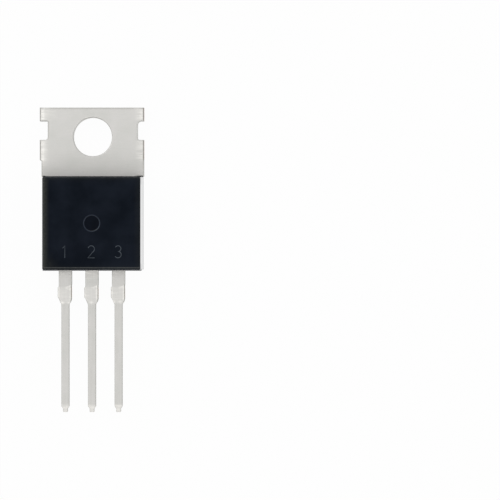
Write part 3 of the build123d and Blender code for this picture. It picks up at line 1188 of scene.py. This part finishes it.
@dataclass
class Moulding:
    """The drafted epoxy block, with its parting lines, rounded rims and ejector pin mark."""

    half_width: float
    lead_end_y: float
    back_height: float = 0.04
    front_height: float = 4.395
    side_parting: float = TAB_THICKNESS
    end_parting: float = LEAD_FRONT - LEAD_THICKNESS / 2
    side_draft: float = 3.3
    side_back_draft: float = 3.0
    tab_draft: float = 3.0
    lead_draft: float = 4.0
    lead_back_draft: float = 2.6
    corner: float = 0.2
    upright_corner: float = 0.1
    back_rim: float = 0.05
    corner_steps: int = 6
    flash: float = 0.012
    flash_height: float = 0.03
    bedded: float = 0.05
    mark_radius: float = 0.76
    mark_offset: float = 0.04
    mark_depth: float = 0.1
    mark_lip: float = 0.12
    mark_segments: int = 72
    # Where the painted highlight on the pin mark's lip is strongest, and how much lies all round.
    highlight_towards: Point = (0.75, -0.66)
    highlight_all_round: float = 0.32
    haze_reach: float = 0.5
    scuff: float = 0.4
    scuff_reach: float = 1.7
    # Paler rims and painted highlight lines along each side of the front: partly scuffs, partly painted
    # highlight, strongest on the gate side.
    gate_rub_and_light: RubAndLight = RubAndLight(0.95, 0.55, 0.80)
    source_rub_and_light: RubAndLight = RubAndLight(0.10, 0.0, 0.15)
    tab_rub_and_light: RubAndLight = RubAndLight(0.30, 0.0, 0.05)
    lead_rub_and_light: RubAndLight = RubAndLight(0.20, 1.0, 0.05)

    @property
    def mark_centre(self) -> Vector:
        """The middle of the ejector pin's mark, on the front."""
        return Vector((self.mark_offset, (TAB_END_Y + self.lead_end_y) / 2, self.front_height))

    @staticmethod
    def lean(height: float, degrees: float) -> float:
        """How far a drafted wall leans in over a height; none below its parting line."""
        return max(height, 0.0) * math.tan(math.radians(degrees))

    def half_width_at(self, z: float) -> float:
        """Half the width at a height."""
        above = self.lean(z - self.side_parting, self.side_draft)
        return self.half_width - above - self.lean(self.side_parting - z, self.side_back_draft)

    def tab_end_at(self, z: float) -> float:
        """The tab-side wall at a height; below the tab's front it beds into the copper."""
        if z <= self.side_parting:
            return TAB_END_Y + self.bedded
        return TAB_END_Y - self.lean(z - self.side_parting, self.tab_draft)

    def lead_end_at(self, z: float) -> float:
        """The lead-side wall at a height."""
        above = self.lean(z - self.end_parting, self.lead_draft)
        return self.lead_end_y + above + self.lean(self.end_parting - z, self.lead_back_draft)

    def ring(self, z: float, inset: float, side_flash: float = 0.0, end_flash: float = 0.0) -> list[Vector]:
        """A rounded rectangle round the block at one height.

        Args:
            z: the height.
            inset: how far every side lies in from the wall.
            side_flash: how far the long sides stand out.
            end_flash: how far the lead end stands out.

        Returns:
            The ring's points, round once.
        """
        half = self.half_width_at(z) - inset + side_flash
        high = self.tab_end_at(z) - inset
        low = self.lead_end_at(z) + inset - end_flash
        radius = max(self.upright_corner - inset, 0.02)
        points = []
        for quarter, (x, y) in enumerate(((half, high), (-half, high), (-half, low), (half, low))):
            centre = Vector((x - math.copysign(radius, x), y + (radius if y == low else -radius), z))
            for step in range(self.corner_steps + 1):
                angle = math.pi / 2 * (quarter + step / self.corner_steps)
                points.append(centre + radius * Vector((math.cos(angle), math.sin(angle), 0)))
        return points

    def rings(self) -> list[list[Vector]]:
        """The block's rings, from its back to the flat of its front."""
        half_flash = self.flash_height / 2
        rings = [
            self.ring(self.back_height + self.back_rim * inner, self.back_rim * below)
            for inner, below in quarter_round(3)
        ]
        for middle, sides, end in ((self.side_parting, 1, 0), (self.end_parting, 0, 1)):
            for shift, proud in ((-2, 0), (-1, 1), (1, 1), (2, 0)):
                ridge = self.flash * proud
                rings.append(self.ring(middle + shift * half_flash, 0.0, ridge * sides, ridge * end))
        for inner, below in quarter_round(self.corner_steps):
            rings.append(self.ring(self.front_height - self.corner * below, self.corner * inner))
        for share in (0.1, 0.2, 0.3, 0.5, 0.75, 1.0):
            rings.append(self.ring(self.front_height, self.corner + share * self.haze_reach))
        return rings

    def rub_and_light_at(self, place: Vector) -> Point:
        """How pale a point is painted, mostly on the front rim (partly scuffs, partly painted highlight), and
        how much of its painted highlight line it carries.
        """
        top, corner = self.front_height, self.corner
        sides = (
            (self.half_width_at(top) + place.x, self.gate_rub_and_light),
            (self.half_width_at(top) - place.x, self.source_rub_and_light),
            (self.tab_end_at(top) - place.y, self.tab_rub_and_light),
            (place.y - self.lead_end_at(top), self.lead_rub_and_light),
        )
        scuffed_corner = math.hypot(sides[0][0], sides[3][0])
        pale_share = self.scuff * fade(0.5, self.scuff_reach, scuffed_corner)
        for gap, side_rub_and_light in sides:
            highlight_haze = side_rub_and_light.highlight_haze * fade(corner, corner + self.haze_reach, gap)
            pale_share = max(pale_share, highlight_haze if gap > 0.99 * corner else side_rub_and_light.rim)
        line = max(side_rub_and_light.line * bell(gap, 0.75 * corner, 0.2 * corner) for gap, side_rub_and_light in sides)
        rim = smooth_step(top - corner, top - 0.3 * corner, place.z)
        return rim * pale_share, rim * line

    def mark_profile(self) -> list[tuple[float, float, Skin]]:
        """The pin mark's rings: radius, depth, and the finish of the faces that end there."""
        outer, lip = self.mark_radius + self.mark_lip / 2, self.mark_lip
        floor, depth = outer - lip, self.mark_depth
        rings = [
            (outer - lip * (1 - below), 0.7 * lip * inner, Skin.PIN_LIP if inner else Skin.FRONT)
            for inner, below in quarter_round(4)
        ]
        bottom = ((floor - 0.01, depth - 0.004), (floor - 0.02, depth), (floor - 0.02 - FLAT_MARGIN, depth))
        return [*rings, *((*ring, Skin.PIN_FLOOR) for ring in bottom)]

    def mark_front(self, bm: BMesh) -> None:
        """Sink the ejector pin's mark into the front, its mouth rounded over."""
        front = [face for face in bm.faces if face.calc_center_median().z > self.front_height - HAIR]
        cap = max(front, key=lambda face: face.calc_area())
        rim = list(cap.edges)
        bmesh.ops.delete(bm, geom=[cap], context="FACES_ONLY")
        centre, depth = self.mark_centre, 0.0
        radius = self.mark_radius + self.mark_lip / 2 + FLAT_MARGIN
        loop = circle_loop(bm, centre, radius, self.mark_segments)
        fill(bm, [*rim, *loop])
        for next_radius, next_depth, skin in self.mark_profile():
            grown = bmesh.ops.extrude_edge_only(bm, edges=loop)["geom"]
            loop, verts = only(grown, BMEdge), only(grown, BMVert)
            scale = next_radius / radius
            bmesh.ops.scale(bm, verts=verts, vec=(scale, scale, 1), space=Matrix.Translation(-centre))
            bmesh.ops.translate(bm, verts=verts, vec=(0, 0, depth - next_depth))
            for face in touching(verts, "link_faces"):
                face.material_index = skin
            radius, depth = next_radius, next_depth
        for face in bmesh.ops.edgeloop_fill(bm, edges=loop)["faces"]:
            face.material_index = Skin.PIN_FLOOR

    def mark_highlight(self, place: Vector) -> float:
        """A painted highlight on the pin mark's lip: strongest towards the source lead's tip, where the lip's
        slope faces the key lamp.
        """
        out = (place - self.mark_centre).xy
        if abs(out.length - self.mark_radius) > 0.49 * self.mark_lip:
            return 0.0
        towards = max(out.normalized().dot(Vector(self.highlight_towards)), 0.0)
        share = self.highlight_all_round + (1 - self.highlight_all_round) * towards
        return bell(out.length, self.mark_radius, 0.65 * self.mark_lip) * share

    def cut_finish_rows(self, bm: BMesh) -> None:
        """Cut rows of points beside the rims, so that each side's finish ends at its own corners."""
        top = self.front_height
        reaches = [self.corner + share * self.haze_reach for share in (0.0, 0.25, 0.5, 1.0)]
        reaches += [0.65 * self.scuff_reach, self.scuff_reach]
        along = [self.tab_end_at(top) - reach for reach in reaches]
        along += [self.lead_end_at(top) + reach for reach in reaches]
        across = [sign * (self.half_width_at(top) - reach) for sign in (-1, 1) for reach in reaches]
        cut_rows(bm, across, along)

    def build(self, name: str, materials: Sequence[Material]) -> Object:
        """Make the moulding.

        Args:
            name: the piece's name.
            materials: one compound for each Skin.

        Returns:
            The finished piece.
        """
        bm = start_mesh()
        loft(bm, self.rings())
        self.mark_front(bm)
        self.cut_finish_rows(bm)
        wear, shine = finish_layers(bm)
        for vert in bm.verts:
            # Paint the paler rims, the highlight lines and the pin lip's highlight.
            vert[wear], line = self.rub_and_light_at(vert.co)
            vert[shine] = max(line, self.mark_highlight(vert.co))
        bm.normal_update()
        for face in bm.faces:
            on_rim = face.calc_center_median().z > self.front_height - self.corner
            if abs(face.normal.x) > (SIDE_ON if on_rim else 0.3):
                face.material_index = Skin.SIDES
            elif abs(face.normal.y) > 0.5:
                face.material_index = Skin.ENDS
        return finish_mesh(name, bm, materials)


@dataclass
class PinNumbers:
    """Plain pin numbers, burnt into the front above each lead by a laser."""

    height: float = 1.15
    width: float = 0.62
    stroke: float = 0.085
    base_y: float = -11.6
    top_height: float = 4.3995
    thickness: float = 0.012

    @staticmethod
    def arc(half_width: float, middle: float, half_height: float, start: int, stop: int) -> list[Point]:
        """Part of an upright oval, clockwise in steps of 20 degrees from one angle to another."""
        angles = [math.radians(angle) for angle in range(start, stop - 1, -20)]
        return [(0.5 + half_width * math.cos(a), middle + half_height * math.sin(a)) for a in angles]

    def paths(self) -> dict[int, list[Point]]:
        """The points of each digit's stroke, in a box one wide and one high, by digit."""
        return {
            1: [(0.22, 0.8), (0.55, 1.0), (0.55, 0.0)],
            2: [*self.arc(0.5, 0.73, 0.27, 160, -60), (0.0, 0.0), (1.0, 0.0)],
            3: [*self.arc(0.46, 0.76, 0.24, 150, -90), *self.arc(0.5, 0.27, 0.27, 70, -150)],
        }

    def build(self, name: str, materials: Sequence[Material]) -> Object:
        """Make the three numbers as one mesh of flat strokes, in the laser mark's material."""
        bm = start_mesh()
        for digit, path in self.paths().items():
            left = (digit - 2) * PITCH - self.width / 2
            self.add_stroke(bm, [(left + x * self.width, self.base_y + y * self.height) for x, y in path])
        return finish_mesh(name, bm, materials, smooth=False)

    def add_stroke(self, bm: BMesh, points: Sequence[Point]) -> None:
        """Add one stroke: a flat tube along a path."""
        curve = bpy.data.curves.new("stroke", "CURVE")
        curve.dimensions = "3D"
        curve.bevel_depth = self.stroke / 2
        curve.bevel_resolution = 2
        curve.use_fill_caps = True
        spline = curve.splines.new("POLY")
        spline.points.add(len(points) - 1)
        for point, (x, y) in zip(spline.points, points):
            point.co = (x, y, 0, 1)
        holder = bpy.data.objects.new("stroke", curve)
        mesh = bpy.data.meshes.new_from_object(holder)
        flatten = Matrix.Diagonal((1, 1, self.thickness / self.stroke, 1))
        mesh.transform(Matrix.Translation((0, 0, self.top_height - self.thickness / 2)) @ flatten)
        bm.from_mesh(mesh)
        bpy.data.objects.remove(holder)
        bpy.data.curves.remove(curve)
        bpy.data.meshes.remove(mesh)


# ---- inside


@dataclass
class Chip:
    """The die, its solder and its bond wires, which keep their CAD shapes."""

    solder: InnerMetal = InnerMetal("solder", (0.62, 0.63, 0.65), (0.45, 0.46, 0.48), 0.35, 6.0)
    silicon: InnerMetal = InnerMetal("silicon", (0.30, 0.31, 0.36), (0.22, 0.23, 0.27), 0.15, 2.0)
    wire: InnerMetal = InnerMetal("bond_wire", (0.88, 0.88, 0.89), (0.74, 0.74, 0.76), 0.3, 20.0)
    wires: tuple[str, ...] = ("gate_bond_wire", "source_bond_wire_1", "source_bond_wire_2")

    def dress(self) -> None:
        """Give each piece inside the moulding its finish."""
        finishes = {"die_solder": self.solder.make(), "silicon_die": self.silicon.make()}
        finishes |= dict.fromkeys(self.wires, self.wire.make())
        for name, finish in finishes.items():
            node = frame["nodes"][name]
            node.data.materials.clear()
            node.data.materials.append(finish)
            LOG.info("%s: dressed", name)


# ---- studio


@dataclass
class Studio:
    """A plain white table, two soft boxes and a camera straight above."""

    floor_half: float = 1.5
    floor_gap: float = 0.00002
    floor_colour: Colour = (0.88, 0.88, 0.88)
    floor_glow: float = 0.965
    ambient: float = 0.62
    key_place: tuple[float, float, float] = (-0.35, 0.25, 0.5)
    key_power: float = 0.9
    fill_place: tuple[float, float, float] = (0.45, -0.2, 0.4)
    fill_power: float = 0.5
    soft_box: float = 0.4
    camera_place: tuple[float, float, float] = (0.015090, -0.010853, 0.33)
    sensor: float = 36.0
    lens: float = 246.7
    clip: Point = (0.01, 10.0)

    def build_floor(self) -> Object:
        """Lay the table just under the part."""
        bm = start_mesh()
        bmesh.ops.create_grid(bm, x_segments=1, y_segments=1, size=self.floor_half / MM)
        bmesh.ops.translate(bm, verts=bm.verts, vec=(0, 0, -self.floor_gap / MM))
        floor = finish_mesh("floor", bm, [self.floor_material()], smooth=False)
        return floor

    def floor_material(self) -> Material:
        """White paper that keeps the part's shadow."""
        material = bpy.data.materials.new("floor")
        material.use_nodes = True
        tree = Tree(material.node_tree)
        tree.tree.nodes.clear()
        paper = tree.add("BsdfDiffuse")
        tree.feed(paper.inputs["Color"], self.floor_colour)
        share = tree.times(tree.seen_by_eye(), self.floor_glow)
        surface = tree.mixed(share, paper.outputs["BSDF"], tree.light("Emission", 1.0))
        tree.feed(tree.add("OutputMaterial").inputs["Surface"], surface)
        return material

    def build_world(self) -> None:
        """Light the room evenly and show it white to the eye."""
        world = bpy.data.worlds.new("studio")
        bpy.context.scene.world = world
        world.use_nodes = True
        tree = Tree(world.node_tree)
        soft, white = (tree.light("Background", power) for power in (self.ambient, 1.0))
        surface = tree.mixed(tree.seen_by_eye(), soft, white)
        tree.feed(tree.tree.nodes["World Output"].inputs["Surface"], surface)

    def add_soft_box(self, name: str, place: Vector, power: float) -> None:
        """Hang a square lamp of a power in watts at a place in metres, facing the part."""
        lamp = bpy.data.lights.new(name, "AREA")
        lamp.shape = "SQUARE"
        lamp.size = self.soft_box
        lamp.energy = power
        holder = place_object(name, lamp)
        middle = (Vector(CAD_BOX[0]) + Vector(CAD_BOX[1])) / 2
        holder.location = place
        holder.rotation_euler = (middle - place).to_track_quat("-Z", "Y").to_euler()

    def build_camera(self) -> None:
        """Set the long-lensed camera straight above the table."""
        camera = bpy.data.cameras.new("camera")
        camera.sensor_width = self.sensor
        camera.lens = self.lens
        camera.clip_start, camera.clip_end = self.clip
        holder = place_object("camera", camera)
        holder.location = self.camera_place
        bpy.context.scene.camera = holder

    def build(self) -> None:
        """Set up floor, light and camera."""
        self.build_floor()
        self.build_world()
        self.add_soft_box("key_light", Vector(self.key_place), self.key_power)
        self.add_soft_box("fill_light", Vector(self.fill_place), self.fill_power)
        self.build_camera()
        bpy.context.scene.view_settings.view_transform = "Standard"


# ---- the part


def extent(node: str) -> tuple[Vector, Vector]:
    """A CAD node's lowest and highest corners, in millimetres."""
    low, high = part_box(node)
    return Vector(low) / MM, Vector(high) / MM


def hole_radius() -> float:
    """The mounting hole's radius, from the record, in millimetres."""
    mounts = {mount["name"]: mount for mount in frame["record"]["mounts"]}
    return mounts["mounting_hole"]["dims"]["r_mm"]


def compounds() -> list[Material]:
    """The moulding's finishes, one for each Skin."""
    eroded = MouldCompound("mould_compound")
    gloss_and_highlight = MouldCompound(
        "mould_compound_polished",
        roughness=0.04,
        ior=1.3,
        specular=0.5,
        coat=1.0,
        coat_ior=1.3,
        coat_roughness=0.01,
        relief=0.02,
    )
    # The pin mark's lip: its paler, bluer colours and its highlight colour are painted highlight.
    pressed_and_highlight = MouldCompound(
        "mould_compound_pressed",
        dark=(0.005, 0.010, 0.020),
        pale=(0.010, 0.017, 0.032),
        highlight_colour=(0.030, 0.041, 0.062),
        roughness=0.3,
        specular=0.2,
        relief=0.6,
    )
    ends = MouldCompound("mould_compound_ends", roughness=0.6)
    # The pin mark's floor, painted darker than the front as shade in the recess.
    pin_floor_shade = MouldCompound(
        "mould_compound_pin_face", dark=(0.0012, 0.0024, 0.0055), pale=(0.0035, 0.0058, 0.0115)
    )
    return [compound.make() for compound in (eroded, gloss_and_highlight, pressed_and_highlight, ends, pin_floor_shade)]


def main() -> None:
    """Build every piece in order and report it."""
    logging.basicConfig(level=logging.INFO, format="%(name)s %(message)s")
    body_low, body_high = extent("moulded_body")
    frame_low, frame_high = extent("drain_frame")
    tin = TinPlate().make()
    tab_cut = ShearedCopper(back=0.0, front=TAB_THICKNESS).make("sheared_tab")
    lead_cut = ShearedCopper(back=LEAD_FRONT - LEAD_THICKNESS, front=LEAD_FRONT).make("sheared_lead")

    shape = LeadShape(root_y=body_low.y, tip_y=frame_low.y, front_height=frame_high.z)
    drain = DrainFrame(
        shape=shape,
        hole_radius=hole_radius(),
        free_edge_y=frame_high.y,
        half_width=frame_high.x,
        stub_proud=-frame_low.x - frame_high.x,
    )
    adopt(drain.build("copper_frame", [tin, tab_cut, lead_cut]), Slot.COPPER, "drain_frame")
    for side, node in ((Side.GATE, "gate_lead"), (Side.SOURCE, "source_lead")):
        lead = PostLead(side=side, shape=shape)
        adopt(lead.build(f"{node}_copper", [tin, lead_cut]), Slot.COPPER, node)

    moulding = Moulding(half_width=body_high.x, lead_end_y=body_low.y)
    adopt(moulding.build("moulding", compounds()), Slot.COMPOUND, "moulded_body")
    adopt(PinNumbers().build("pin_numbers", [LaserMark().make()]), Slot.COMPOUND)
    Chip().dress()
    Studio().build()


if __name__ == "__main__":
    main()
